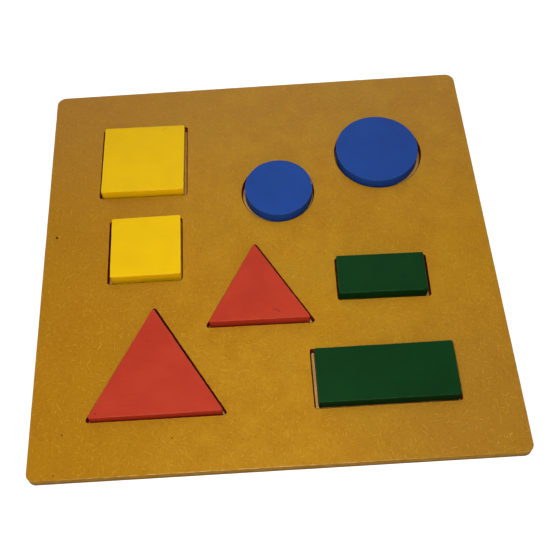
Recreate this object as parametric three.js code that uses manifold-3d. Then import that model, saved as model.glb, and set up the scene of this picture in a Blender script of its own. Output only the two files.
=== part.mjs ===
// A shape puzzle: eight painted blocks that lie loose in the recesses of a square varnished board.
// The board is two sheets glued together. The upper one has a cut-out for each block, and the lower
// one closes the cut-outs from below, so that every block rests on it and stands proud of the board.
// Millimetres, +Z up. The origin is under the middle of the board, on the surface that it lies on, and
// -Y is the near side of the board, which the triangles point away from.
import * as THREE from 'three';
import { mergeVertices } from 'three/addons/utils/BufferGeometryUtils.js';
import Module from 'manifold-3d';

// Board
const boardSide = 300;
const nearCornerRadius = 5.2;
const farCornerRadius = 6.5;
const faceThickness = 4;
const backingThickness = 3;
const boardEdgeEase = 0.5; // rounding of the upper and lower arris, all round the board

// Blocks
const blockThickness = 9;
const blockEdgeEase = 0.5;
const blockCornerRadius = 1;
const sharpCornerRadius = 0.6; // of the small triangle
const bigSquareSide = 58;
const smallSquareSide = 47;
const bigDiscDiameter = 58;
const smallDiscDiameter = 47;
const bigTriangleBase = 82.7;
const bigTriangleHeight = 73.75;
const bigTriangleLean = 2; // of the point, to the left of the middle of the base
const smallTriangleBase = 65.15;
const smallTriangleHeight = 57.75;
const smallTriangleLean = 1.5;
const bigRectangleLength = 86.25;
const bigRectangleWidth = 36.5;
const smallRectangleLength = 57.5;
const smallRectangleWidth = 28.5;

// Fit of a block in its recess
const looseClearance = 1.5; // all round, when the block lies in the middle
const closeClearance = 1.2; // the same, for the blocks that fit closer
const recessCornerRadius = 1.25;

// Layout of the recesses, to their middles, from the edges of the board or from its middle
const bigSquareFromLeft = 67.1;
const bigSquareFromFar = 66.6;
const smallSquareFromLeft = 68.85;
const smallSquareFarOfMiddle = 7.3;
const bigDiscFromRight = 65.5;
const bigDiscFromFar = 71.4;
const smallDiscRightOfMiddle = 11.2;
const smallDiscFarOfMiddle = 49.5;
const bigTriangleFromLeft = 77.1;
const bigTriangleFromNear = 61.05;
const smallTriangleLeftOfMiddle = 6;
const smallTriangleFromNear = 116;
const bigRectangleFromRight = 81.4;
const bigRectangleFromNear = 55.3;
const smallRectangleFromRight = 74.6;
const smallRectangleFromNear = 125.1;

// Points along the round stretches
const cornerSteps = 4;
const easeSteps = 2;
const discSteps = 64;

const wasm = await Module();
wasm.setup();

// Outlines are lists of corners, anticlockwise from above, about the middle of the shape.

function rectangleCorners(length, width) {
  return [
    new THREE.Vector2(length / 2, width / 2),
    new THREE.Vector2(-length / 2, width / 2),
    new THREE.Vector2(-length / 2, -width / 2),
    new THREE.Vector2(length / 2, -width / 2),
  ];
}

function triangleCorners(base, height, lean) {
  return [
    new THREE.Vector2(-lean, (2 * height) / 3),
    new THREE.Vector2(-base / 2, -height / 3),
    new THREE.Vector2(base / 2, -height / 3),
  ];
}

// Unit vectors along the two edges that leave a corner, to the corner before it and to the one after.
function edgesAt(corners, index) {
  const corner = corners[index];
  const before = corners[(index + corners.length - 1) % corners.length];
  const after = corners[(index + 1) % corners.length];
  return {
    toBefore: before.clone().sub(corner).normalize(),
    toAfter: after.clone().sub(corner).normalize(),
  };
}

// Half the angle between two unit vectors.
function halfAngle(first, second) {
  return Math.acos(first.dot(second)) / 2;
}

// The same outline with every edge moved outwards by one distance.
function grownCorners(corners, distance) {
  return corners.map((corner, index) => {
    const { toBefore, toAfter } = edgesAt(corners, index);
    const inwards = toBefore.clone().add(toAfter).normalize();
    return corner.clone().addScaledVector(inwards, -distance / Math.sin(halfAngle(toBefore, toAfter)));
  });
}

function pointOnCircle(radius, angle) {
  return new THREE.Vector2(Math.cos(angle), Math.sin(angle)).multiplyScalar(radius);
}

// The points of an arc in place of one corner of an outline.
function cornerArc(corners, index, radius) {
  const { toBefore, toAfter } = edgesAt(corners, index);
  const half = halfAngle(toBefore, toAfter);
  const inwards = toBefore.clone().add(toAfter).normalize();
  const centre = corners[index].clone().addScaledVector(inwards, radius / Math.sin(half));
  const sweep = Math.PI - 2 * half;
  const middle = Math.atan2(-inwards.y, -inwards.x);
  const points = [];
  for (let step = 0; step <= cornerSteps; step += 1) {
    const angle = middle + sweep * (step / cornerSteps - 0.5);
    points.push(pointOnCircle(radius, angle).add(centre));
  }
  return points;
}

// The outline's points, with an arc of the same radius in place of each corner.
function roundedOutline(corners, radius) {
  return corners.flatMap((corner, index) => cornerArc(corners, index, radius));
}

function circleOutline(radius) {
  const points = [];
  for (let step = 0; step < discSteps; step += 1) {
    const angle = (2 * Math.PI * step) / discSteps;
    points.push(pointOnCircle(radius, angle));
  }
  return points;
}

// A block with corners, and the recess that takes it.
function corneredShape(corners, clearance, cornerRadius = blockCornerRadius) {
  return {
    block: roundedOutline(corners, cornerRadius),
    recess: roundedOutline(grownCorners(corners, clearance), recessCornerRadius),
    reach: Math.max(...corners.map((corner) => corner.length())),
    clearance,
  };
}

function roundShape(diameter, clearance) {
  return {
    block: circleOutline(diameter / 2),
    recess: circleOutline(diameter / 2 + clearance),
    reach: diameter / 2,
    clearance,
  };
}

const yellowPaint = { color: 0xdeb20f, roughness: 0.45, metalness: 0 };
const bluePaint = { color: 0x224491, roughness: 0.45, metalness: 0 };
const redPaint = { color: 0xb93c2d, roughness: 0.45, metalness: 0 };
const greenPaint = { color: 0x12381a, roughness: 0.45, metalness: 0 };
const varnishedFibreboard = { color: 0xae7d22, roughness: 0.4, metalness: 0 };
const rawFibreboard = { color: 0xa67c54, roughness: 0.85, metalness: 0 };

const left = -boardSide / 2;
const right = boardSide / 2;
const near = -boardSide / 2;
const far = boardSide / 2;

// place is the middle of the recess, from the middle of the board, and turn is the recess's own turn in
// degrees. The block lies loose in it: slid is how far it has moved off the middle, and skewed how far
// its farthest corner has swung round, both as shares of its clearance.
const blocks = [
  {
    name: 'big_yellow_square',
    shape: corneredShape(rectangleCorners(bigSquareSide, bigSquareSide), looseClearance),
    place: [left + bigSquareFromLeft, far - bigSquareFromFar],
    turn: -0.8,
    slid: [-0.1, -0.1],
    skewed: -0.15,
    paint: yellowPaint,
  },
  {
    name: 'small_yellow_square',
    shape: corneredShape(rectangleCorners(smallSquareSide, smallSquareSide), closeClearance),
    place: [left + smallSquareFromLeft, smallSquareFarOfMiddle],
    turn: -0.2,
    slid: [0.6, 0.65],
    skewed: 0.15,
    paint: yellowPaint,
  },
  {
    name: 'big_blue_disc',
    shape: roundShape(bigDiscDiameter, looseClearance),
    place: [right - bigDiscFromRight, far - bigDiscFromFar],
    turn: 0,
    slid: [-0.45, 0.45],
    skewed: 0,
    paint: bluePaint,
  },
  {
    name: 'small_blue_disc',
    shape: roundShape(smallDiscDiameter, looseClearance),
    place: [smallDiscRightOfMiddle, smallDiscFarOfMiddle],
    turn: 0,
    slid: [0.4, 0.5],
    skewed: 0,
    paint: bluePaint,
  },
  {
    name: 'big_red_triangle',
    shape: corneredShape(
      triangleCorners(bigTriangleBase, bigTriangleHeight, bigTriangleLean),
      closeClearance,
    ),
    place: [left + bigTriangleFromLeft, near + bigTriangleFromNear],
    turn: -0.1,
    slid: [-0.1, -0.55],
    skewed: 0.15,
    paint: redPaint,
  },
  {
    name: 'small_red_triangle',
    shape: corneredShape(
      triangleCorners(smallTriangleBase, smallTriangleHeight, smallTriangleLean),
      looseClearance,
      sharpCornerRadius,
    ),
    place: [-smallTriangleLeftOfMiddle, near + smallTriangleFromNear],
    turn: -0.65,
    slid: [-0.35, -0.15],
    skewed: 0.05,
    paint: redPaint,
  },
  {
    name: 'big_green_rectangle',
    shape: corneredShape(rectangleCorners(bigRectangleLength, bigRectangleWidth), looseClearance),
    place: [right - bigRectangleFromRight, near + bigRectangleFromNear],
    turn: 0,
    slid: [0.5, 0],
    skewed: -0.05,
    paint: greenPaint,
  },
  {
    name: 'small_green_rectangle',
    shape: corneredShape(rectangleCorners(smallRectangleLength, smallRectangleWidth), closeClearance),
    place: [right - smallRectangleFromRight, near + smallRectangleFromNear],
    turn: -0.9,
    slid: [-0.55, 0.6],
    skewed: -0.05,
    paint: greenPaint,
  },
];

// An extruded outline from z = 0 up to its thickness, with its arrises rounded at both ends.
function easedPrism(outline, thickness, ease) {
  const geometry = new THREE.ExtrudeGeometry(new THREE.Shape(outline), {
    depth: thickness - 2 * ease,
    bevelThickness: ease,
    bevelSize: ease,
    bevelOffset: -ease,
    bevelSegments: easeSteps,
  });
  return geometry.translate(0, 0, ease);
}

// An extruded outline from one height to another, with sharp arrises.
function plainPrism(outline, bottom, top) {
  const geometry = new THREE.ExtrudeGeometry(new THREE.Shape(outline), {
    depth: top - bottom,
    bevelEnabled: false,
  });
  return geometry.translate(0, 0, bottom);
}

function toSolid(geometry) {
  const bare = geometry.clone();
  bare.deleteAttribute('normal');
  bare.deleteAttribute('uv');
  const merged = mergeVertices(bare);
  return new wasm.Manifold(
    new wasm.Mesh({
      numProp: 3,
      vertProperties: merged.attributes.position.array,
      triVerts: new Uint32Array(merged.index.array),
    }),
  );
}

function toGeometry(solid) {
  const { vertProperties, triVerts } = solid.getMesh();
  const geometry = new THREE.BufferGeometry();
  geometry.setAttribute('position', new THREE.BufferAttribute(vertProperties, 3));
  geometry.setIndex(new THREE.BufferAttribute(triVerts, 1));
  geometry.computeVertexNormals();
  return geometry;
}

function turnedAndPlaced(points, degrees, [x, y]) {
  const middle = new THREE.Vector2();
  const angle = THREE.MathUtils.degToRad(degrees);
  return points.map((point) => point.clone().rotateAround(middle, angle).add(new THREE.Vector2(x, y)));
}

const boardCorners = rectangleCorners(boardSide, boardSide);
const boardOutline = boardCorners.flatMap((corner, index) => {
  const radius = corner.y < 0 ? nearCornerRadius : farCornerRadius;
  return cornerArc(boardCorners, index, radius);
});

// A slab wider than the board, for trimming one side of a sheet flat.
function boardSlab(bottom, top) {
  return toSolid(plainPrism(rectangleCorners(2 * boardSide, 2 * boardSide), bottom, top));
}

// The upper sheet, from the glue line at z = 0. Its upper arris is rounded, it is flat below, where it
// is glued, and the cut-outs go right through it with sharp arrises.
function faceGeometry() {
  const blank = easedPrism(boardOutline, faceThickness + boardEdgeEase, boardEdgeEase);
  const below = boardSlab(-2 * boardEdgeEase, 0);
  let sheet = toSolid(blank.translate(0, 0, -boardEdgeEase)).subtract(below);
  for (const { shape, turn, place } of blocks) {
    const outline = turnedAndPlaced(shape.recess, turn, place);
    sheet = sheet.subtract(toSolid(plainPrism(outline, -faceThickness, 2 * faceThickness)));
  }
  return toGeometry(sheet);
}

// The lower sheet, from the surface that the board lies on at z = 0. Its lower arris is rounded, and it
// is flat above.
function backingGeometry() {
  const blank = easedPrism(boardOutline, backingThickness + boardEdgeEase, boardEdgeEase);
  const above = boardSlab(backingThickness, backingThickness + 2 * boardEdgeEase);
  return toGeometry(toSolid(blank).subtract(above));
}

function addMesh(group, name, geometry, finish) {
  const mesh = new THREE.Mesh(geometry, new THREE.MeshStandardMaterial(finish));
  mesh.name = name;
  group.add(mesh);
  return mesh;
}

const puzzle = new THREE.Group();

addMesh(puzzle, 'backing_board', backingGeometry(), rawFibreboard);

const face = addMesh(puzzle, 'face_board', faceGeometry(), varnishedFibreboard);
face.position.z = backingThickness;

for (const { name, shape, place, turn, slid, skewed, paint } of blocks) {
  const block = addMesh(puzzle, name, easedPrism(shape.block, blockThickness, blockEdgeEase), paint);
  block.position.set(
    place[0] + slid[0] * shape.clearance,
    place[1] + slid[1] * shape.clearance,
    backingThickness,
  );
  block.rotation.z = THREE.MathUtils.degToRad(turn) + Math.atan2(skewed * shape.clearance, shape.reach);
}

export default puzzle;
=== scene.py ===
import math

import bmesh
import bpy
from mathutils import Matrix, Vector, noise


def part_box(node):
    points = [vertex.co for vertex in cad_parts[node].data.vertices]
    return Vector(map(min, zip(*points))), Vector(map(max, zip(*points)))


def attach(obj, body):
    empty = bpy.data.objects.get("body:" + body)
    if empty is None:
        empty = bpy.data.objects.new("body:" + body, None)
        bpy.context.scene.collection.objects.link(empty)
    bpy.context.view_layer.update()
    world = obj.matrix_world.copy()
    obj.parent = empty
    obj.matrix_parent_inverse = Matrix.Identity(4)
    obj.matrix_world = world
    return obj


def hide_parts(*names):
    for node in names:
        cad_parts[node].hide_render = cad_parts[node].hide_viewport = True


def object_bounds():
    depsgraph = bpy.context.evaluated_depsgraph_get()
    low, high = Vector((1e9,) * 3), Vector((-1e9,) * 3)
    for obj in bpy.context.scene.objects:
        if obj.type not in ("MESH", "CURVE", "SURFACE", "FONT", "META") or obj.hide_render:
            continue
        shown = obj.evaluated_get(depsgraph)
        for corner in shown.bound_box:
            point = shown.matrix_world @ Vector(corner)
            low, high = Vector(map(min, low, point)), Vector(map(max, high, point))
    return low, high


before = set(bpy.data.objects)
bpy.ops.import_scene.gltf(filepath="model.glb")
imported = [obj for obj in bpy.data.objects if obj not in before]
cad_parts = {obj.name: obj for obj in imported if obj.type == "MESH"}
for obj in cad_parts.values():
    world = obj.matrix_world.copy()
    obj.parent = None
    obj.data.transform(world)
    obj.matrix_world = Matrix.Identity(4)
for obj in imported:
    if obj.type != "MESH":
        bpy.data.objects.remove(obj)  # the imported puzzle: metres, +Z up, the near edge of the board towards -Y
cadLow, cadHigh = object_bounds()
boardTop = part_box("face_board")[1].z
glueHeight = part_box("backing_board")[1].z  # where the two sheets meet
print("frame: loaded", len(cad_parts), "pieces")

# Camera

photoView = {
    "lookAt": (-0.00709, -0.02134),  # on the board's upper face
    "distance": 0.58887,
    "azimuth": 0.806,  # degrees, round from the near side to the right
    "elevation": 58.991,
    "roll": -4.242,
    "lens": 57.32,  # mm
    "sensor": 36,
    "sideShift": 0.04148,  # the lens axis meets the picture left of its middle
    "clipStart": 0.01,
}


def addCamera(view):
    camera = bpy.data.objects.new("photo_camera", bpy.data.cameras.new("photo_camera"))
    camera.data.lens = view["lens"]
    camera.data.sensor_width = view["sensor"]
    camera.data.shift_x = view["sideShift"]
    camera.data.clip_start = view["clipStart"]
    swing = Matrix.Rotation(math.radians(view["azimuth"]), 4, "Z")
    tip = Matrix.Rotation(math.radians(90 - view["elevation"]), 4, "X")
    roll = Matrix.Rotation(math.radians(view["roll"]), 4, "Z")
    back = Matrix.Translation((0, 0, view["distance"]))
    camera.matrix_world = Matrix.Translation((*view["lookAt"], boardTop)) @ swing @ tip @ back @ roll
    bpy.context.scene.collection.objects.link(camera)
    bpy.context.scene.camera = camera


addCamera(photoView)
bpy.context.scene.view_settings.view_transform = "Standard"
print("camera: placed")

# Shader helpers


class Wire:  # an output socket that takes part in Python sums
    def __init__(self, finish, socket):
        self.finish = finish
        self.socket = socket

    def pick(self, name):  # another output of the same node
        return Wire(self.finish, self.socket.node.outputs[name])

    def __add__(self, other):
        return self.finish.maths("ADD", self, other)

    def __radd__(self, other):
        return self.finish.maths("ADD", other, self)

    def __sub__(self, other):
        return self.finish.maths("SUBTRACT", self, other)

    def __rsub__(self, other):
        return self.finish.maths("SUBTRACT", other, self)

    def __mul__(self, other):
        return self.finish.maths("MULTIPLY", self, other)

    def __rmul__(self, other):
        return self.finish.maths("MULTIPLY", other, self)

    def __truediv__(self, other):
        return self.finish.maths("DIVIDE", self, other)

    def __rtruediv__(self, other):
        return self.finish.maths("DIVIDE", other, self)


class Finish:  # one material, or the world, and its nodes
    def __init__(self, owner):
        owner.use_nodes = True
        self.owner = owner
        self.tree = owner.node_tree
        self.tree.nodes.clear()

    def add(self, kind, settings=None, sockets=None, output=0):
        node = self.tree.nodes.new(kind)
        for name, value in (settings or {}).items():
            setattr(node, name, value)
        for name, value in (sockets or {}).items():
            socket = node.inputs[name]
            if isinstance(value, Wire):
                self.tree.links.new(value.socket, socket)
            elif socket.type == "RGBA":
                socket.default_value = (*value, 1)
            else:
                socket.default_value = value
        return Wire(self, node.outputs[output]) if node.outputs else None

    def maths(self, operation, first, second=0.0):
        return self.add("ShaderNodeMath", {"operation": operation}, {0: first, 1: second})

    def vectorMaths(self, operation, first, second, output=0):
        return self.add("ShaderNodeVectorMath", {"operation": operation}, {0: first, 1: second}, output)

    def mix(self, amount, under, over, way="MIX"):  # colours
        settings = {"data_type": "RGBA", "blend_type": way}
        return self.add("ShaderNodeMix", settings, {0: amount, 6: under, 7: over}, 2)

    def ramp(self, value, start, end, soft=True):  # 0 at start, 1 at end, and level beyond both
        settings = {"interpolation_type": "SMOOTHSTEP" if soft else "LINEAR"}
        return self.add("ShaderNodeMapRange", settings, {"Value": value, "From Min": start, "From Max": end})

    def place(self):
        return self.add("ShaderNodeTexCoord", output="Object")

    def stretch(self, place, factors):
        return self.vectorMaths("MULTIPLY", place, factors)

    def cloud(self, place, grain, detail=2.0):  # soft noise with blotches of about that size
        sockets = {"Vector": place, "Scale": 1 / grain, "Detail": detail}
        return self.add("ShaderNodeTexNoise", {}, sockets)

    def layer(self, name):  # one of the mesh's own values
        return self.add("ShaderNodeAttribute", {"attribute_name": name}, output="Fac")

    def bump(self, height, distance):
        return self.add("ShaderNodeBump", {}, {"Height": height, "Distance": distance, "Strength": 1.0})

    def finishWith(self, sockets):
        shader = self.add("ShaderNodeBsdfPrincipled", {}, sockets)
        self.add("ShaderNodeOutputMaterial", {}, {"Surface": shader})
        return self.owner


def newFinish(name):
    return Finish(bpy.data.materials.new(name))


def tint(*levels):  # a colour in 0 to 255 screen levels, made linear
    shares = [level / 255 for level in levels]
    return tuple(share / 12.92 if share <= 0.04045 else ((share + 0.055) / 1.055) ** 2.4 for share in shares)


noiseSpread = (0.3, 0.7)  # where most of a cloud's values lie

strokeShape = {
    "core": 0.3,  # of the half width, at full strength
    "shortest": 0.4,  # of the full length
    "tipStart": 0.6,  # of the half length
}

spotShape = {
    "core": 0.5,  # of the radius, at full strength
    "grain": 0.0007,  # of the ragged rim
    "ragged": (0.6, 0.8),  # the least stretch, and what the cloud adds to it
}


# One stroke to a Voronoi cell, each turned, bent and cut to length by chance: a mask of fibres.
def strokes(finish, place, look):
    spread = finish.stretch(place, (1 / look["cell"],) * 3)
    settings = {"voronoi_dimensions": "2D", "feature": "F1"}
    cells = finish.add("ShaderNodeTexVoronoi", settings, {"Vector": spread, "Scale": 1.0, "Randomness": 1.0})
    local = finish.vectorMaths("SUBTRACT", spread, cells.pick("Position"))
    x = finish.add("ShaderNodeSeparateXYZ", {}, {0: local})
    y = x.pick("Y")
    turnChance = finish.add("ShaderNodeSeparateColor", {}, {0: cells.pick("Color")})
    bendChance = turnChance.pick("Green")
    showChance = turnChance.pick("Blue")
    angle = turnChance * (2 * math.pi)
    cosine = finish.maths("COSINE", angle)
    sine = finish.maths("SINE", angle)
    along = x * cosine + y * sine
    across = y * cosine - x * sine + along * along * ((bendChance - 0.5) * look["bend"])
    halfWidth = 0.5 * look["width"] / look["cell"]
    halfLength = 0.5 * look["length"] / look["cell"]
    shortest = strokeShape["shortest"]
    body = finish.ramp(finish.maths("ABSOLUTE", across), halfWidth, strokeShape["core"] * halfWidth)
    reach = finish.maths("ABSOLUTE", along) / (shortest + (1 - shortest) * bendChance)
    tips = finish.ramp(reach, halfLength, strokeShape["tipStart"] * halfLength)
    shown = finish.ramp(showChance, 1 - look["share"], 1.0, soft=False)
    return body * tips * shown


def spots(finish, place, marks):  # a mask of small ragged marks, each an x, a y and a radius
    least, extra = spotShape["ragged"]
    ragged = least + extra * finish.cloud(place, spotShape["grain"], detail=3.0)
    mask = None
    for x, y, radius in marks:
        away = finish.vectorMaths("DISTANCE", finish.stretch(place, (1, 1, 0)), (x, y, 0), "Value")
        spot = finish.ramp(away * ragged, radius, spotShape["core"] * radius)
        mask = spot if mask is None else finish.maths("MAXIMUM", mask, spot)
    return mask


# Finishes

wearAndHighlightLook = {
    # pale: bare board where the varnish is worn, and the painted highlight
    "bare": tint(220, 180, 104),
    "middle": -0.02,  # x of the strongest painted highlight along the near edge
    "reach": (0.12, 0.05),  # to either side of it: where the painted highlight begins, and where it is strongest
    "near": (0.0, -0.1),  # y, the same
    "patch": 0.006,
    "least": 0.4,
    "extra": 0.5,
}


# Wears the varnish off the board's arrises in patches, and paints a highlight on them, strongest along the
# middle of the near edge.
def wearAndHighlightArris(finish, place, colour, look):
    x = finish.add("ShaderNodeSeparateXYZ", {}, {0: place})
    middle = finish.ramp(finish.maths("ABSOLUTE", x - look["middle"]), *look["reach"])
    near = finish.ramp(x.pick("Y"), *look["near"])
    patches = finish.ramp(finish.cloud(place, look["patch"], detail=4.0), *noiseSpread)
    wearAndHighlight = finish.layer("edge") * patches * (look["least"] + look["extra"] * middle * near)
    return finish.mix(wearAndHighlight, colour, look["bare"])


varnishLook = {
    "amber": tint(187, 136, 30),
    "honey": tint(179, 126, 27),
    "olive": tint(179, 133, 32),
    "russet": tint(176, 121, 20),
    "shade": (0.90, 0.90, 0.90),
    "fibre": tint(212, 165, 48),
    "darkFibre": tint(132, 84, 4),
    "fleck": tint(110, 66, 8),
    "speck": tint(62, 28, 0),
    "scuff": tint(210, 170, 84),
    "cornerShade": tint(164, 118, 42),
    "broadBlotch": 0.045,
    "blotch": 0.014,
    "grain": 0.0016,
    "shadeSpread": (0.75, 0.25),
    "oliveSpread": (0.45, 0.7),
    "oliveShare": 0.5,
    "russetShare": 0.6,
    "russetSide": (-0.02, -0.13),  # x: where it begins, and where it is full
    "cornerShadeShare": 0.65,
    "shadedCorner": (cadHigh.x, cadLow.y, boardTop),  # the near right one, darker and greyer than the rest: painted shade with a little painted sheen
    "cornerShadeReach": (0.14, 0.04),  # from that corner: where it begins, and where it is full
    "shortShare": 0.5,
    "longShare": 0.55,
    "fineShare": 0.35,
    "darkShare": 0.45,
    "fleckShare": 0.7,
    "scuffShare": 0.6,
    "roughness": 0.18,
    "roughnessSpread": 0.1,
    "specular": 0.07,
    "relief": 0.00004,  # times the shares below
    "heights": {"pale": 0.5, "dark": -0.4, "grain": 0.5, "flecks": -1.0},
    "specks": [
        (-0.1424, 0.0222, 0.0012),
        (-0.1298, -0.1218, 0.0007),
        (-0.0633, -0.1279, 0.0006),
        (-0.1335, -0.1471, 0.0006),
    ],
    "scuffs": [
        (0.1384, -0.1378, 0.0006),
        (0.1372, -0.1387, 0.0007),
        (0.1351, -0.1400, 0.0006),
        (0.1338, -0.1396, 0.0005),
        (0.1292, -0.1434, 0.0006),
    ],
    "shortFibres": {"cell": 0.0040, "length": 0.0042, "width": 0.0007, "share": 0.8, "bend": 0.9},
    "longFibres": {"cell": 0.0085, "length": 0.0078, "width": 0.0006, "share": 0.5, "bend": 1.6},
    "fineFibres": {"cell": 0.0021, "length": 0.0019, "width": 0.0005, "share": 0.9, "bend": 0.6},
    "darkFibres": {"cell": 0.0036, "length": 0.0026, "width": 0.0007, "share": 0.7, "bend": 0.8},
    "flecks": {"cell": 0.0065, "length": 0.0011, "width": 0.0009, "share": 0.35, "bend": 0.0},
}


def varnishedFace(look):
    finish = newFinish("varnished_face")
    place = finish.place()
    broad = finish.cloud(place, look["broadBlotch"])
    patchy = finish.cloud(place, look["blotch"], detail=3.0)
    grain = finish.cloud(place, look["grain"], detail=3.0)
    colour = finish.mix(finish.ramp(patchy, *noiseSpread), look["honey"], look["amber"])
    colour = finish.mix(finish.ramp(broad, *look["oliveSpread"]) * look["oliveShare"], colour, look["olive"])
    x = finish.add("ShaderNodeSeparateXYZ", {}, {0: place})
    colour = finish.mix(finish.ramp(x, *look["russetSide"]) * look["russetShare"], colour, look["russet"])
    # Painted shade, with a little painted sheen, round the near right corner.
    away = finish.vectorMaths("DISTANCE", place, look["shadedCorner"], "Value")
    cornerShade = finish.ramp(away, *look["cornerShadeReach"]) * look["cornerShadeShare"]
    colour = finish.mix(cornerShade, colour, look["cornerShade"])
    colour = finish.mix(finish.ramp(grain, *look["shadeSpread"]), colour, look["shade"], "MULTIPLY")
    short = strokes(finish, place, look["shortFibres"])
    long = strokes(finish, place, look["longFibres"])
    fine = strokes(finish, place, look["fineFibres"])
    dark = strokes(finish, place, look["darkFibres"])
    flecks = strokes(finish, place, look["flecks"])
    pale = finish.maths("MAXIMUM", short * look["shortShare"], long * look["longShare"])
    pale = finish.maths("MAXIMUM", pale, fine * look["fineShare"])
    colour = finish.mix(dark * look["darkShare"], colour, look["darkFibre"])
    colour = finish.mix(pale, colour, look["fibre"])
    colour = finish.mix(flecks * look["fleckShare"], colour, look["fleck"])
    colour = finish.mix(spots(finish, place, look["specks"]), colour, look["speck"])
    colour = finish.mix(spots(finish, place, look["scuffs"]) * look["scuffShare"], colour, look["scuff"])
    colour = wearAndHighlightArris(finish, place, colour, wearAndHighlightLook)
    shares = look["heights"]
    height = pale * shares["pale"] + dark * shares["dark"]
    height = height + grain * shares["grain"] + flecks * shares["flecks"]
    return finish.finishWith({
        "Base Color": colour,
        "Roughness": look["roughness"] + look["roughnessSpread"] * (patchy + pale),
        "Specular IOR Level": look["specular"],
        "Normal": finish.bump(height, look["relief"]),
    })


edgeLook = {
    "amber": tint(174, 135, 18),
    "brown": tint(140, 101, 12),
    "under": tint(112, 81, 14),
    "scuff": tint(222, 186, 110),
    "streak": 0.004,
    "streakPress": 5,  # pressed fibres lie along the sheet
    "blotch": 0.02,
    "blotchSpread": (0.5, 0.75),
    "blotchShare": 0.35,
    "underShare": 0.7,
    "underFade": (1.2 * glueHeight, 0.6 * glueHeight),  # where the darkening towards the bottom begins, and where it is full
    "roughness": 0.5,
    "roughnessSpread": 0.2,
    "specular": 0.06,
    "relief": 0.00012,
}


def varnishedEdge(look):
    finish = newFinish("varnished_edge")
    place = finish.place()
    flat = finish.stretch(place, (1, 1, look["streakPress"]))
    streaks = finish.cloud(flat, look["streak"], detail=4.0)
    patchy = finish.cloud(place, look["blotch"])
    colour = finish.mix(finish.ramp(streaks, *noiseSpread), look["brown"], look["amber"])
    blotches = finish.ramp(patchy, *look["blotchSpread"]) * look["blotchShare"]
    colour = finish.mix(blotches, colour, look["brown"])
    height = finish.add("ShaderNodeSeparateXYZ", {}, {0: place}, "Z")
    # Darker towards the bottom of the edge.
    lower = finish.ramp(height, *look["underFade"]) * look["underShare"]
    colour = finish.mix(lower, colour, look["under"])
    colour = wearAndHighlightArris(finish, place, colour, wearAndHighlightLook)
    colour = finish.mix(finish.layer("scar"), colour, look["scuff"])
    return finish.finishWith({
        "Base Color": colour,
        "Roughness": look["roughness"] + look["roughnessSpread"] * streaks,
        "Specular IOR Level": look["specular"],
        "Normal": finish.bump(streaks, look["relief"]),
    })


burntLook = {
    "char": tint(118, 24, 0),
    "brown": tint(144, 46, 2),
    "rim": tint(70, 11, 0),
    "rimShare": 0.9,
    "mark": 0.0012,
    "markDraw": 0.15,  # the cutter's marks stand upright
    "markSpread": (0.35, 0.7),
    "roughness": 0.75,
    "roughnessSpread": 0.15,
    "specular": 0.05,
    "relief": 0.00008,
}


def burntCut(look):
    finish = newFinish("burnt_cut")
    place = finish.place()
    upright = finish.stretch(place, (1, 1, look["markDraw"]))
    marks = finish.cloud(upright, look["mark"], detail=3.0)
    colour = finish.mix(finish.ramp(marks, *look["markSpread"]), look["char"], look["brown"])
    # Darker still along the recess rims: a burnt arris, with painted shade along it.
    colour = finish.mix(finish.layer("rim") * look["rimShare"], colour, look["rim"])
    return finish.finishWith({
        "Base Color": colour,
        "Roughness": look["roughness"] + look["roughnessSpread"] * marks,
        "Specular IOR Level": look["specular"],
        "Normal": finish.bump(marks, look["relief"]),
    })


rawLook = {
    "tan": tint(208, 162, 94),
    "brown": tint(182, 136, 74),
    "fibre": tint(226, 190, 130),
    "darkFibre": tint(128, 86, 50),
    "recessShade": tint(66, 20, 4),
    "blotch": 0.012,
    "grain": 0.0011,
    "grainShare": 0.4,
    "fibreShare": 0.5,
    "fibreHeight": 0.4,  # beside the grain's own
    "recessShadeShare": 0.9,
    "recessShadePatch": 0.003,
    "recessShadeRagged": 0.3,
    "recessShadeSpread": (0.0, 0.5),
    "roughness": 0.8,
    "roughnessSpread": 0.15,
    "specular": 0.2,
    "relief": 0.00006,
    "fibres": {"cell": 0.0036, "length": 0.0032, "width": 0.0005, "share": 0.8, "bend": 0.8},
    "darkFibres": {"cell": 0.0048, "length": 0.0026, "width": 0.0005, "share": 0.6, "bend": 0.8},
}


# The bare board's colour and height, for the backing sheet and for the undersides of the blocks.
def rawColour(finish, place, look):
    patchy = finish.cloud(place, look["blotch"], detail=3.0)
    grain = finish.cloud(place, look["grain"], detail=3.0)
    pale = strokes(finish, place, look["fibres"])
    dark = strokes(finish, place, look["darkFibres"])
    mottle = patchy * (1 - look["grainShare"]) + grain * look["grainShare"]
    colour = finish.mix(finish.ramp(mottle, *noiseSpread), look["brown"], look["tan"])
    colour = finish.mix(dark * look["fibreShare"], colour, look["darkFibre"])
    colour = finish.mix(pale * look["fibreShare"], colour, look["fibre"])
    return colour, grain + pale * look["fibreHeight"]


def rawBoard(look):
    finish = newFinish("raw_fibreboard")
    place = finish.place()
    colour, height = rawColour(finish, place, look)
    # Painted shade on the recess floors, darkest along the walls.
    recessShade = finish.layer("recessShade") - look["recessShadeRagged"] * finish.cloud(place, look["recessShadePatch"])
    colour = finish.mix(finish.ramp(recessShade, *look["recessShadeSpread"]) * look["recessShadeShare"], colour, look["recessShade"])
    return finish.finishWith({
        "Base Color": colour,
        "Roughness": look["roughness"] + look["roughnessSpread"] * height,
        "Specular IOR Level": look["specular"],
        "Normal": finish.bump(height, look["relief"]),
    })


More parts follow.
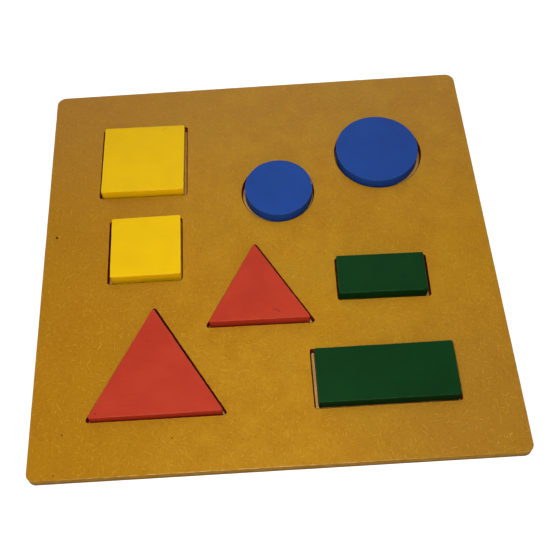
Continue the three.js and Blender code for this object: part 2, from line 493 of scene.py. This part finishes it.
paintLooks = {
    "yellow": {
        "paint": tint(243, 198, 6),
        "deep": tint(237, 191, 5),
        "rubbed": tint(246, 206, 60),
        "chipped": tint(228, 204, 150),
        "specks": [(-0.0692, 0.1083, 0.0005), (-0.0676, 0.1092, 0.0004)],
        "dents": [],
        "speck": tint(150, 100, 10),
    },
    "blue": {
        "paint": tint(33, 74, 155),
        "deep": tint(30, 68, 147),
        "rubbed": tint(60, 98, 176),
        "chipped": tint(206, 212, 222),
        "specks": [(0.0790, 0.0880, 0.0004)],
        "dents": [],
        "speck": tint(14, 30, 84),
    },
    "red": {
        "paint": tint(186, 61, 40),
        "deep": tint(178, 54, 35),
        "rubbed": tint(212, 92, 70),
        "chipped": tint(222, 186, 150),
        "specks": [(-0.1093, -0.1116, 0.0006), (-0.0785, -0.0642, 0.0005)],
        "dents": [(0.0028, -0.0470, 0.0011), (0.0045, -0.0476, 0.0012), (0.0062, -0.0485, 0.0011)],
        "speck": tint(110, 20, 14),
    },
    "green": {
        "paint": tint(5, 56, 19),
        "deep": tint(4, 50, 16),
        "rubbed": tint(46, 92, 58),
        "chipped": tint(190, 180, 140),
        "specks": [(0.0650, -0.0900, 0.0004)],
        "dents": [(0.0896, -0.0291, 0.0016)],
        "speck": tint(4, 24, 12),
    },
}


# What the four paints share.
paintCoat = {
    "blotch": 0.02,
    "brush": 0.012,
    "brushPress": 9,  # strokes run along X
    "brushShare": 0.2,
    "brushHeight": 0.6,  # beside the peel's own
    "peel": 0.0009,
    "rubPatch": 0.004,
    "rubSpread": (0.35, 0.65),
    "rubLeast": 0.1,
    "rubExtra": 0.35,
    "rimPatch": 0.003,  # ragged paint round the bare underside
    "rimRagged": 0.6,
    "bareSpread": (0.75, 0.85),
    "chipSpread": (0.2, 0.5),
    "dentShare": 0.3,
    "dentDepth": 6,
    "roughness": 0.42,
    "roughnessSpread": 0.12,
    "bareRoughness": 0.3,  # more than the paint's
    "specular": 0.07,
    "relief": 0.00003,
}


def paintFinish(colourName, look, coat):
    finish = newFinish(colourName + "_paint")
    place = finish.place()
    patchy = finish.cloud(place, coat["blotch"], detail=3.0)
    brushed = finish.cloud(finish.stretch(place, (1, coat["brushPress"], 1)), coat["brush"], detail=3.0)
    peel = finish.cloud(place, coat["peel"])
    mottle = patchy * (1 - coat["brushShare"]) + brushed * coat["brushShare"]
    colour = finish.mix(finish.ramp(mottle, *noiseSpread), look["deep"], look["paint"])
    colour = finish.mix(spots(finish, place, look["specks"]), colour, look["speck"])
    rubbing = finish.ramp(finish.cloud(place, coat["rubPatch"], detail=4.0), *coat["rubSpread"])
    rubbed = finish.layer("edge") * (coat["rubLeast"] + coat["rubExtra"] * rubbing)
    colour = finish.mix(rubbed, colour, look["rubbed"])
    bareColour, bareHeight = rawColour(finish, place, rawLook)
    ragged = finish.layer("bare") + coat["rimRagged"] * finish.cloud(place, coat["rimPatch"], detail=4.0)
    bare = finish.ramp(ragged, *coat["bareSpread"])
    colour = finish.mix(bare, colour, bareColour)
    colour = finish.mix(finish.ramp(finish.layer("scar"), *coat["chipSpread"]), colour, look["chipped"])
    height = peel * (1 - bare) + brushed * coat["brushHeight"] + bareHeight * bare
    if look["dents"]:
        dent = spots(finish, place, look["dents"])
        colour = finish.mix(dent * coat["dentShare"], colour, look["speck"])
        height = height - coat["dentDepth"] * dent
    return finish.finishWith({
        "Base Color": colour,
        "Roughness": coat["roughness"] + coat["roughnessSpread"] * patchy + coat["bareRoughness"] * bare,
        "Specular IOR Level": coat["specular"],
        "Normal": finish.bump(height, coat["relief"]),
    })


faceFinish = varnishedFace(varnishLook)
edgeFinish = varnishedEdge(edgeLook)
burntFinish = burntCut(burntLook)
rawFinish = rawBoard(rawLook)
paints = {name: paintFinish(name, look, paintCoat) for name, look in paintLooks.items()}
print("finishes: made", len(bpy.data.materials))

# Mesh helpers

tiny = 0.00002  # for telling heights apart
levelTilt = 0.9  # z of a level face's normal, at least
leastTurn = math.radians(0.5)  # an outline that turns less runs straight on
sharp = 1.0  # radian: faces that turn more meet at an arris


def everything(shape):
    return shape.verts[:] + shape.edges[:] + shape.faces[:]


# The outline of a CAD solid at half its height, as loops of edges.
def sliceOf(node):
    low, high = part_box(node)
    shape = bmesh.new()
    shape.from_mesh(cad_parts[node].data)
    bmesh.ops.remove_doubles(shape, verts=shape.verts, dist=tiny / 10)
    bmesh.ops.bisect_plane(
        shape,
        geom=everything(shape),
        plane_co=(low + high) / 2,
        plane_no=(0, 0, 1),
        clear_inner=True,
        clear_outer=True,
    )
    bmesh.ops.dissolve_limit(shape, angle_limit=leastTurn, verts=shape.verts, edges=shape.edges)
    return shape


def splitLongEdges(shape, step):
    for edge in [edge for edge in shape.edges if edge.calc_length() > step]:
        bmesh.ops.subdivide_edges(shape, edges=[edge], cuts=int(edge.calc_length() / step))


# Fills the loops, and leaves the inner ones open as holes.
def fillSheet(shape, height):
    for vert in shape.verts:
        vert.co.z = height
    bmesh.ops.triangle_fill(shape, use_beauty=True, edges=shape.edges[:], normal=(0, 0, 1))


# Thickens a flat sheet, to stand between two heights.
def raiseSheet(shape, low, high):
    bmesh.ops.recalc_face_normals(shape, faces=shape.faces)
    bmesh.ops.solidify(shape, geom=shape.faces[:], thickness=high - low)
    offset = low - min(vert.co.z for vert in shape.verts)
    bmesh.ops.translate(shape, verts=shape.verts, vec=(0, 0, offset))
    bmesh.ops.recalc_face_normals(shape, faces=shape.faces)
    shape.normal_update()


def levelFaces(shape, height):
    shape.normal_update()
    level = [face for face in shape.faces if abs(face.normal.z) > levelTilt]
    return [face for face in level if abs(face.calc_center_median().z - height) < tiny]


def bandRim(shape, height, width):  # a narrow ring of faces inside every rim at that height
    bmesh.ops.inset_region(
        shape, faces=levelFaces(shape, height), thickness=width, use_even_offset=True, use_boundary=True
    )


def rimEdges(shape, height):
    level = [edge for edge in shape.edges if all(abs(vert.co.z - height) < tiny for vert in edge.verts)]
    return [edge for edge in level if edge.calc_face_angle(0) > sharp]


def roundRim(shape, edges, radius, segments):
    bmesh.ops.bevel(
        shape,
        geom=edges,
        offset=radius,
        offset_type="OFFSET",
        segments=segments,
        profile=0.5,
        affect="EDGES",
        material=-1,
    )


def cutAcross(shape, heights):
    for height in heights:
        bmesh.ops.bisect_plane(shape, geom=everything(shape), plane_co=(0, 0, height), plane_no=(0, 0, 1))


# Lets the sides waver a little, as a hand-guided saw and sanding leave them.
def waver(shape, amount, length):
    shape.normal_update()
    for vert in shape.verts:
        slip = amount * noise.noise(vert.co / length)
        vert.co.x += vert.normal.x * slip
        vert.co.y += vert.normal.y * slip


# Knocks an arris back round a point, and marks the bare patch.
def chip(shape, scar, place, radius, depth):
    edge = shape.verts.layers.float["edge"]
    shape.normal_update()
    middle = Vector(place)
    for vert in shape.verts:
        away = (vert.co - middle).length / radius
        if away < 1 and vert[edge] > 0.5:
            vert.co -= vert.normal * depth * (1 - away * away)
            vert[scar] = max(vert[scar], 1 - away * away)


def makePiece(name, shape, finishes):
    bmesh.ops.recalc_face_normals(shape, faces=shape.faces)
    for face in shape.faces:
        face.smooth = True
    mesh = bpy.data.meshes.new(name)
    shape.to_mesh(mesh)
    shape.free()
    for finish in finishes:
        mesh.materials.append(finish)
    piece = bpy.data.objects.new(name, mesh)
    bpy.context.scene.collection.objects.link(piece)
    shading = piece.modifiers.new("shading", "WEIGHTED_NORMAL")
    shading.keep_sharp = True
    shading.weight = 100
    return piece


# Board: the face with its cut-outs, and the backing sheet

boardShape = {
    "nearCornerRadius": 0.0052,
    "farCornerRadius": 0.0065,
    "cornerSegments": 12,
    "arris": 0.0005,
    "arrisSegments": 4,
    "wearAndHighlightShare": 0.8,  # of the arris, worn bare of varnish and given the painted highlight
    "edgeTilt": 0.6,  # z of the normal, where the arris turns from the face into the edge
    "glueLine": 0.00012,  # hairline where the two sheets meet
    "glueSegments": 1,
    "recessArris": 0.00055,
    "recessSegments": 2,
    "recessTilt": 0.95,  # z of the normal, where the face turns into a burnt wall
    "cutDepth": 0.001,  # of the cuts across the sides, from the faces
    "rimBand": 0.002,
    "recessShadeBand": 0.0009,  # painted shade on the recess floors, along the walls
    "margin": 0.007,  # of plain board inside the outline, with no recess in it
    "pointStep": 0.003,
    "waver": 0.00006,
    "waverLength": 0.011,
    "nicks": [  # place, radius and depth
        ((-0.1500, 0.0600, 0.0068), 0.0022, 0.00035),
        ((-0.0520, 0.1500, 0.0068), 0.0020, 0.00030),
        ((0.0620, -0.1500, 0.0066), 0.0024, 0.00035),
        ((0.1475, -0.1475, 0.0066), 0.0030, 0.00040),
        ((0.1500, -0.0950, 0.0067), 0.0026, 0.00030),
    ],
}


def cornerRadiusAt(co, look):
    return look["nearCornerRadius"] if co.y < 0 else look["farCornerRadius"]


def insideEdge(co, look):  # how far a point lies inside the board's outline
    radius = cornerRadiusAt(co, look)
    straight = cadHigh.x - radius
    past = Vector((max(abs(co.x) - straight, 0), max(abs(co.y) - straight, 0)))
    if past.x == 0 and past.y == 0:
        return radius + straight - max(abs(co.x), abs(co.y))
    return radius - past.length


def atRecess(edge, look):  # round a recess, and not on the board's outline
    return insideEdge(edge.verts[0].co, look) > look["margin"]


def boardOutline(look):
    shape = bmesh.new()
    bmesh.ops.create_grid(shape, x_segments=1, y_segments=1, size=cadHigh.x)
    for corner in shape.verts[:]:
        bmesh.ops.bevel(
            shape,
            geom=[corner],
            offset=cornerRadiusAt(corner.co, look),
            offset_type="OFFSET",
            segments=look["cornerSegments"],
            profile=0.5,
            affect="VERTICES",
            material=-1,
        )
    bmesh.ops.delete(shape, geom=shape.faces[:], context="FACES_ONLY")
    return shape


def addRecessOutlines(shape, look):
    recesses = sliceOf("face_board")
    outer = [vert for vert in recesses.verts if insideEdge(vert.co, look) < look["margin"]]
    bmesh.ops.delete(recesses, geom=outer, context="VERTS")
    loops = bpy.data.meshes.new("recess_outlines")
    recesses.to_mesh(loops)
    recesses.free()
    shape.from_mesh(loops)
    bpy.data.meshes.remove(loops)


# Fills the recess loops of the backing sheet, each with a ring of painted shade inside it.
def closeRecesses(shape, look):
    recessShade = shape.verts.layers.float.new("recessShade")
    loops = [edge for edge in shape.edges if edge.is_boundary and atRecess(edge, look)]
    walls = {vert for edge in loops for vert in edge.verts}
    floors = bmesh.ops.holes_fill(shape, edges=loops, sides=0)["faces"]
    bmesh.ops.inset_individual(shape, faces=floors, thickness=look["recessShadeBand"], use_even_offset=True)
    for vert in shape.verts:
        vert[recessShade] = float(vert in walls)


def wipeUnderside(shape, height):
    recessShade = shape.verts.layers.float["recessShade"]
    for vert in shape.verts:
        if abs(vert.co.z - height) < tiny:
            vert[recessShade] = 0


def markBoardEdges(shape, look, arrisHeight):
    edge = shape.verts.layers.float.new("edge")
    rim = shape.verts.layers.float.new("rim")
    for vert in shape.verts:
        fromArris = abs(vert.co.z - arrisHeight)
        fromCorner = max(fromArris, insideEdge(vert.co, look))
        vert[edge] = float(fromCorner < look["wearAndHighlightShare"] * look["arris"])
        vert[rim] = float(fromArris < look["recessArris"] + tiny)


def nickBoard(shape, look):
    scar = shape.verts.layers.float.new("scar")
    for place, radius, depth in look["nicks"]:
        chip(shape, scar, place, radius, depth)


def makeFace(look):
    low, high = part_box("face_board")
    shape = boardOutline(look)
    addRecessOutlines(shape, look)
    splitLongEdges(shape, look["pointStep"])
    fillSheet(shape, low.z)
    raiseSheet(shape, low.z, high.z)
    bandRim(shape, high.z, look["rimBand"])
    outer = [edge for edge in rimEdges(shape, high.z) if not atRecess(edge, look)]
    roundRim(shape, outer, look["arris"], look["arrisSegments"])
    recesses = [edge for edge in rimEdges(shape, high.z) if atRecess(edge, look)]
    roundRim(shape, recesses, look["recessArris"], look["recessSegments"])
    under = [edge for edge in rimEdges(shape, low.z) if not atRecess(edge, look)]
    roundRim(shape, under, look["glueLine"], look["glueSegments"])
    cutAcross(shape, (low.z + look["cutDepth"], high.z - look["cutDepth"]))
    markBoardEdges(shape, look, high.z)
    waver(shape, look["waver"], look["waverLength"])
    nickBoard(shape, look)
    shape.normal_update()
    for face in shape.faces:
        tilt = face.normal.z
        if insideEdge(face.calc_center_median(), look) < look["arris"]:
            face.material_index = 1 if tilt < look["edgeTilt"] else 0
        elif tilt < look["recessTilt"]:
            face.material_index = 2 if tilt > -levelTilt else 3
    return makePiece("puzzle_face", shape, [faceFinish, edgeFinish, burntFinish, rawFinish])


def makeBacking(look):
    low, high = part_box("backing_board")
    shape = boardOutline(look)
    addRecessOutlines(shape, look)
    splitLongEdges(shape, look["pointStep"])
    fillSheet(shape, low.z)
    bandRim(shape, low.z, look["rimBand"])
    closeRecesses(shape, look)
    raiseSheet(shape, low.z, high.z)
    wipeUnderside(shape, low.z)
    roundRim(shape, rimEdges(shape, low.z), look["arris"], look["arrisSegments"])
    roundRim(shape, rimEdges(shape, high.z), look["glueLine"], look["glueSegments"])
    cutAcross(shape, (low.z + look["cutDepth"],))
    markBoardEdges(shape, look, low.z)
    waver(shape, look["waver"], look["waverLength"])
    nickBoard(shape, look)
    shape.normal_update()
    for face in shape.faces:
        face.material_index = 1 if insideEdge(face.calc_center_median(), look) < look["arris"] else 0
    return makePiece("puzzle_backing", shape, [rawFinish, edgeFinish])


for piece, node, slot in (
    (makeFace(boardShape), "face_board", "varnished_board"),
    (makeBacking(boardShape), "backing_board", "raw_board"),
):
    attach(piece, "board")
    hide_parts(node)
print("board: two sheets made")

# Blocks

blockShape = {
    "arris": 0.0003,
    "arrisSegments": 3,
    "rimBand": 0.00045,
    "cutDepth": 0.0012,  # of the cuts across the sides, from the faces
    "pointStep": 0.0015,
    "discSegments": 160,
    "waver": 0.00008,
    "waverLength": 0.008,
}

blocks = {
    "block_yellow_square_big": {"node": "big_yellow_square", "colour": "yellow", "chips": []},
    "block_yellow_square_small": {"node": "small_yellow_square", "colour": "yellow", "chips": []},
    "block_blue_disc_big": {"node": "big_blue_disc", "colour": "blue", "chips": []},
    "block_blue_disc_small": {
        "node": "small_blue_disc",
        "colour": "blue",
        "chips": [((0.0352, 0.0522, 0.0119), 0.0014, 0.0003)],
    },
    "block_red_triangle_big": {"node": "big_red_triangle", "colour": "red", "chips": []},
    "block_red_triangle_small": {"node": "small_red_triangle", "colour": "red", "chips": []},
    "block_green_rectangle_big": {"node": "big_green_rectangle", "colour": "green", "chips": []},
    "block_green_rectangle_small": {"node": "small_green_rectangle", "colour": "green", "chips": []},
}


def blockOutline(node, look):
    if "disc" not in node:
        return sliceOf(node)
    low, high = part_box(node)
    shape = bmesh.new()
    middle = Matrix.Translation((low + high) / 2)
    radius = (high.x - low.x) / 2
    bmesh.ops.create_circle(shape, segments=look["discSegments"], radius=radius, matrix=middle)
    return shape


def flatVerts(shape, height):  # inside the rim's band, where the fill left triangles
    triangles = [face for face in levelFaces(shape, height) if len(face.verts) == 3]
    return {vert for face in triangles for vert in face.verts}


def markBlock(shape, look, low, high):
    edge = shape.verts.layers.float.new("edge")
    bare = shape.verts.layers.float.new("bare")
    flatTop = flatVerts(shape, high)
    flatUnder = flatVerts(shape, low)
    for vert in shape.verts:
        vert[edge] = float(vert.co.z > high - look["arris"] - tiny and vert not in flatTop)
        vert[bare] = float(vert in flatUnder)


def makeBlock(name, block, look):
    low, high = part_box(block["node"])
    shape = blockOutline(block["node"], look)
    splitLongEdges(shape, look["pointStep"])
    fillSheet(shape, low.z)
    raiseSheet(shape, low.z, high.z)
    for height in (low.z, high.z):
        bandRim(shape, height, look["rimBand"])
        roundRim(shape, rimEdges(shape, height), look["arris"], look["arrisSegments"])
    cutAcross(shape, (low.z + look["cutDepth"], (low.z + high.z) / 2, high.z - look["cutDepth"]))
    markBlock(shape, look, low.z, high.z)
    waver(shape, look["waver"], look["waverLength"])
    scar = shape.verts.layers.float.new("scar")
    for place, radius, depth in block["chips"]:
        chip(shape, scar, place, radius, depth)
    return makePiece(name, shape, [paints[block["colour"]]])


for name, block in blocks.items():
    piece = makeBlock(name, block, blockShape)
    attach(piece, block["node"])
    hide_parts(block["node"])
print("blocks: made", len(blocks))

# Studio: white floor and backdrop, a lamp above, a window behind, a weak fill in front and an even sky

studio = {
    "floorDrop": 0.0001,  # just under the board, so that the two faces don't meet
    "floorRadius": 4.0,
    "floorSegments": 96,
    "wallHeight": 5.0,
    "white": (0.8, 0.8, 0.8),
    "glow": 1.4,
    "glowShare": 0.7,
    "skyStrength": 0.13,
    "lamps": {
        "studio_lamp": {"place": (-0.01, -0.18, 0.45), "size": 0.2, "power": 1.57, "colour": (1, 1, 1)},
        "studio_window": {"place": (0.0, 2.5, 1.6), "size": 2.0, "power": 28.0, "colour": (1, 1, 1)},
        "studio_fill": {"place": (0.0, -2.0, 0.80), "size": 1.2, "power": 9.0, "colour": (1, 0.62, 0.38)},
    },
}


def whiteFinish(look):
    finish = newFinish("studio_white")
    path = finish.add("ShaderNodeLightPath", output="Is Camera Ray")
    seen = finish.maths("MAXIMUM", path, path.pick("Is Glossy Ray"))
    seen = finish.maths("MAXIMUM", seen, path.pick("Is Transmission Ray"))
    sheet = finish.add("ShaderNodeBsdfDiffuse", {}, {"Color": look["white"]})
    glow = finish.add("ShaderNodeEmission", {}, {"Color": (1, 1, 1), "Strength": look["glow"]})
    surface = finish.add("ShaderNodeMixShader", {}, {0: seen * look["glowShare"], 1: sheet, 2: glow})
    finish.add("ShaderNodeOutputMaterial", {}, {"Surface": surface})
    return finish.owner


def makeStudio(look):
    shape = bmesh.new()
    floor = Matrix.Translation((0, 0, cadLow.z - look["floorDrop"]))
    bmesh.ops.create_circle(
        shape, cap_ends=True, segments=look["floorSegments"], radius=look["floorRadius"], matrix=floor
    )
    rim = [edge for edge in shape.edges if edge.is_boundary]
    wall = bmesh.ops.extrude_edge_only(shape, edges=rim)["geom"]
    lifted = [item for item in wall if isinstance(item, bmesh.types.BMVert)]
    bmesh.ops.translate(shape, verts=lifted, vec=(0, 0, look["wallHeight"]))
    mesh = bpy.data.meshes.new("studio_floor")
    shape.to_mesh(mesh)
    shape.free()
    mesh.materials.append(whiteFinish(look))
    stage = bpy.data.objects.new("studio_floor", mesh)
    bpy.context.scene.collection.objects.link(stage)


def lightStudio(look):
    sky = Finish(bpy.data.worlds.new("studio_sky"))
    glow = sky.add("ShaderNodeBackground", {}, {"Color": (1, 1, 1), "Strength": look["skyStrength"]})
    sky.add("ShaderNodeOutputWorld", {}, {"Surface": glow})
    bpy.context.scene.world = sky.owner
    for name, settings in look["lamps"].items():
        lamp = bpy.data.objects.new(name, bpy.data.lights.new(name, "AREA"))
        lamp.data.size = settings["size"]
        lamp.data.energy = settings["power"]
        lamp.data.color = settings["colour"]
        lamp.location = settings["place"]
        lamp.rotation_euler = (-lamp.location).to_track_quat("-Z", "Y").to_euler()
        lamp.visible_camera = False
        bpy.context.scene.collection.objects.link(lamp)


makeStudio(studio)
lightStudio(studio)
print("studio: lit")
